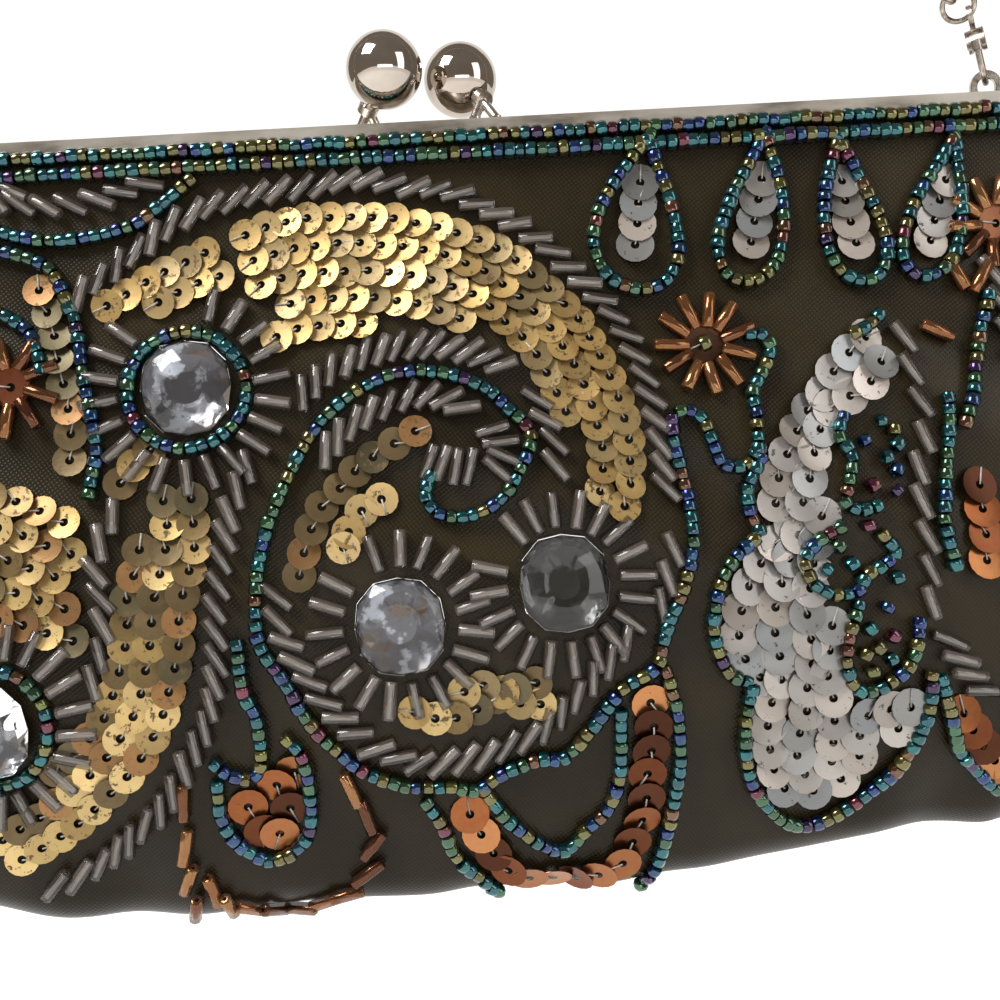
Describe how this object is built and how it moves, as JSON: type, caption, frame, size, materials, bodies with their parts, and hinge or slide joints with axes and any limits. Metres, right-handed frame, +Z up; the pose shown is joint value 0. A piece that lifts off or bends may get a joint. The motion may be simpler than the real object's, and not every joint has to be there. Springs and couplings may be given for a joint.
{
  "type": "evening bag",
  "caption": "Soft evening clutch with a hinged metal frame, kiss-lock knobs, beaded satin body and a clip-on chain.",
  "frame": {"origin": "the point on the chain's top ring that the bag hangs from", "axes": "+Z up, +X towards the right-hand end seen from the front, the front faces -Y"},
  "size_m": [0.218, 0.0425, 0.2356],
  "materials": {
    "frame_metal": "aged nickel plate, softly polished",
    "rivet_metal": "aged nickel plate",
    "knob_metal": "mirror polished",
    "chain_metal": "antique silver plate",
    "satin": "dark olive-brown satin",
    "fleece": "needled fleece",
    "lining": "plain taffeta",
    "board": "grey board",
    "stones": "clear faceted acrylic on worn foil"
  },
  "bodies": {
    "chain": {"left_clasp_body": "chain_metal", "left_gate_pin": "chain_metal", "left_gate_spring": "chain_metal", "right_clasp_body": "chain_metal", "right_gate_pin": "chain_metal", "right_gate_spring": "chain_metal", "left_jump_ring": "chain_metal", "right_jump_ring": "chain_metal", "left_chain": "chain_metal", "right_chain": "chain_metal", "chain_top_ring": "chain_metal"},
    "left_gate": {"left_clasp_gate": "chain_metal"},
    "right_gate": {"right_clasp_gate": "chain_metal"},
    "bag": {"back_frame": "frame_metal", "left_hinge_rivet": "rivet_metal", "right_hinge_rivet": "rivet_metal", "back_knob_stem": "knob_metal", "back_knob": "knob_metal", "left_chain_ear": "frame_metal", "right_chain_ear": "frame_metal", "front_panel_lower": "satin", "back_panel": "satin", "left_gusset": "satin", "right_gusset": "satin", "base_panel": "satin", "base_board": "board", "front_fleece_lower": "fleece", "back_fleece": "fleece", "front_lining_lower": "lining", "back_lining": "lining", "left_gusset_lining": "lining", "right_gusset_lining": "lining", "base_lining": "lining", "slip_pocket": "lining", "sew_on_stone_1": "stones", "sew_on_stone_2": "stones", "sew_on_stone_3": "stones", "sew_on_stone_4": "stones"},
    "front": {"front_frame": "frame_metal", "front_knob_stem": "knob_metal", "front_knob": "knob_metal", "front_panel_upper": "satin", "front_fleece_upper": "fleece", "front_lining_upper": "lining"}
  },
  "joints": [
    {"name": "bag_swing", "type": "hinge", "parent": "chain", "child": "bag", "pos_m": [0, 0, -0.10533], "axis": [1, 0, 0], "range_deg": [-20, 20]},
    {"name": "frame_open", "type": "hinge", "parent": "bag", "child": "front", "pos_m": [0, -0.00045, -0.14198], "axis": [1, 0, 0], "range_deg": [0, 40]},
    {"name": "left_gate_turn", "type": "hinge", "parent": "chain", "child": "left_gate", "pos_m": [-0.09449, 0.00182, -0.09788], "axis": [-0.8471, -0.5, 0.1801], "range_deg": [0, 30], "stiffness_Nm_per_rad": 0.0008, "springref_deg": -20.05},
    {"name": "right_gate_turn", "type": "hinge", "parent": "chain", "child": "right_gate", "pos_m": [0.09449, 0.00182, -0.09788], "axis": [-0.8471, 0.5, -0.1801], "range_deg": [0, 30], "stiffness_Nm_per_rad": 0.0008, "springref_deg": -20.05}
  ]
}
